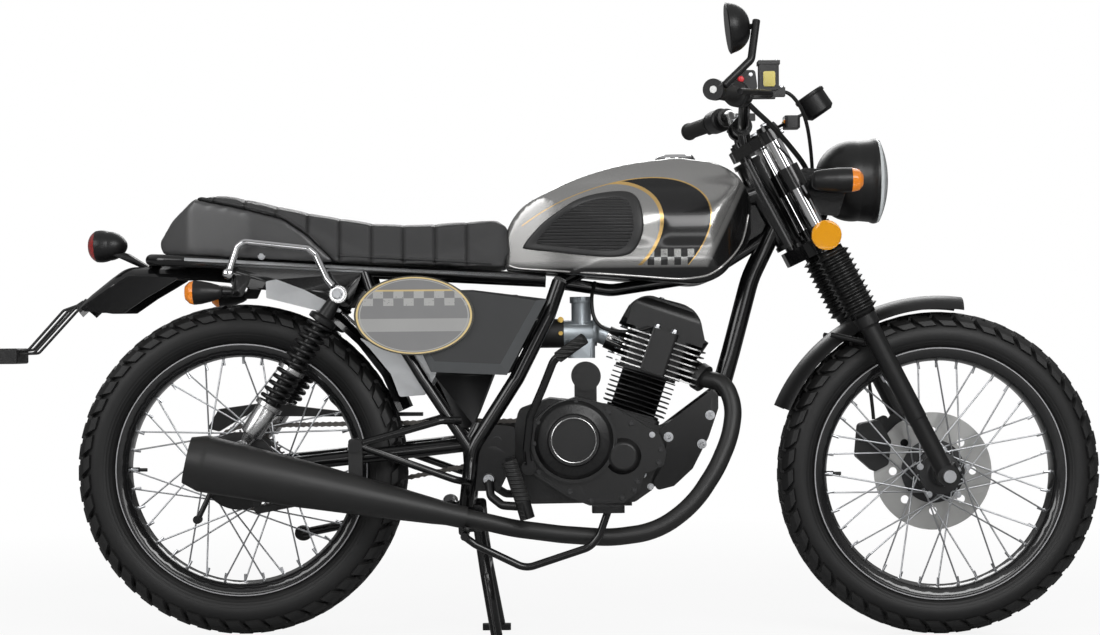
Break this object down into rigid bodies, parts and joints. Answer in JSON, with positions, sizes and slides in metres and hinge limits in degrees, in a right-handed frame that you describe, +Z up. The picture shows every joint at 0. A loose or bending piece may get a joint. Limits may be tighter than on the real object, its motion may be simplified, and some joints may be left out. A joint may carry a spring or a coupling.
{
  "type": "cafe racer motorcycle",
  "caption": "Small single-cylinder cafe racer motorcycle on its centre stand: steered fork, laced wheels, finned engine, long humped seat, low pipe.",
  "frame": {"origin": "on the floor, at the middle of the machine's length and width", "axes": "+X to the machine's front, +Y to its left side, +Z up"},
  "size_m": [2.118, 0.7487, 1.1685],
  "materials": {
    "amber_lens": "clear",
    "black_engine": "satin",
    "black_exhaust": "satin",
    "black_frame": "gloss",
    "black_gloss": "gloss",
    "black_paint": "satin",
    "black_plastic": "matt",
    "black_rim": "gloss with a bright edge",
    "black_rubber": "matt",
    "black_spring": "gloss",
    "bright_steel": "satin",
    "cast_alloy": "cast satin",
    "chrome": "mirror polish",
    "plate_paint": "satin",
    "red_lens": "clear",
    "seat_cover": "satin",
    "tank_paint": "metallic gloss",
    "tyre_rubber": "matt"
  },
  "bodies": {
    "chassis": {"main_frame": "black_frame", "seat_frame": "black_frame", "swingarm": "black_frame", "rear_shocks": "black_spring", "rear_axle": "bright_steel", "crankcase": "black_engine", "clutch_cover": "black_engine", "cylinder": "black_engine", "cylinder_head": "black_engine", "carburettor": "cast_alloy", "exhaust_header": "black_exhaust", "muffler": "black_exhaust", "fuel_tank": "tank_paint", "fuel_cap": "chrome", "knee_pads": "black_rubber", "seat": "seat_cover", "tail_cowl": "black_paint", "side_covers": "black_paint", "oval_plates": "plate_paint", "air_and_battery_boxes": "black_plastic", "rear_fender": "black_gloss", "tail_lamp": "red_lens", "plate_bracket": "black_plastic", "rear_indicators": "amber_lens", "grab_rails": "chrome", "drive_chain": "bright_steel", "chain_guard": "black_paint", "kick_start_lever": "black_frame", "footpegs": "black_rubber", "brake_pedal": "black_paint", "gear_lever": "bright_steel", "rear_brake": "cast_alloy"},
    "steering": {"fork_yokes": "black_frame", "fork_stanchions": "chrome", "fork_gaiters": "black_rubber", "fork_sliders": "black_paint", "front_axle": "bright_steel", "headlight": "black_paint", "lamp_brackets": "black_frame", "front_indicators": "amber_lens", "fork_reflectors": "amber_lens", "gauge": "black_paint", "handlebar": "black_frame", "hand_grips": "black_rubber", "switch_housings": "black_plastic", "hand_levers": "black_paint", "control_cables": "black_rubber", "mirror": "black_paint", "front_fender": "black_paint", "brake_caliper": "black_paint"},
    "front_wheel": {"front_tyre": "tyre_rubber", "front_rim": "black_rim", "front_hub": "cast_alloy", "brake_disc": "bright_steel"},
    "rear_wheel": {"rear_tyre": "tyre_rubber", "rear_rim": "black_rim", "rear_hub": "cast_alloy", "rear_sprocket": "bright_steel"},
    "centre_stand": {"centre_stand": "black_frame"},
    "side_stand": {"side_stand": "black_frame"}
  },
  "joints": [
    {"name": "steering_turn", "type": "hinge", "parent": "chassis", "child": "steering", "pos_m": [0.43156, 0, 0.8224], "axis": [-0.454, 0, 0.891], "range_deg": [-40, 40]},
    {"name": "front_wheel_spin", "type": "hinge", "parent": "steering", "child": "front_wheel", "pos_m": [0.7485, 0, 0.3105], "axis": [0, 1, 0], "continuous": true},
    {"name": "rear_wheel_spin", "type": "hinge", "parent": "chassis", "child": "rear_wheel", "pos_m": [-0.5925, 0, 0.329], "axis": [0, 1, 0], "continuous": true},
    {"name": "centre_stand_swing", "type": "hinge", "parent": "chassis", "child": "centre_stand", "pos_m": [-0.138, 0, 0.226], "axis": [0, 1, 0], "range_deg": [0, 90]},
    {"name": "side_stand_swing", "type": "hinge", "parent": "chassis", "child": "side_stand", "pos_m": [-0.2, 0.132, 0.25], "axis": [0.051, -0.8628, -0.5029], "range_deg": [0, 100]}
  ]
}
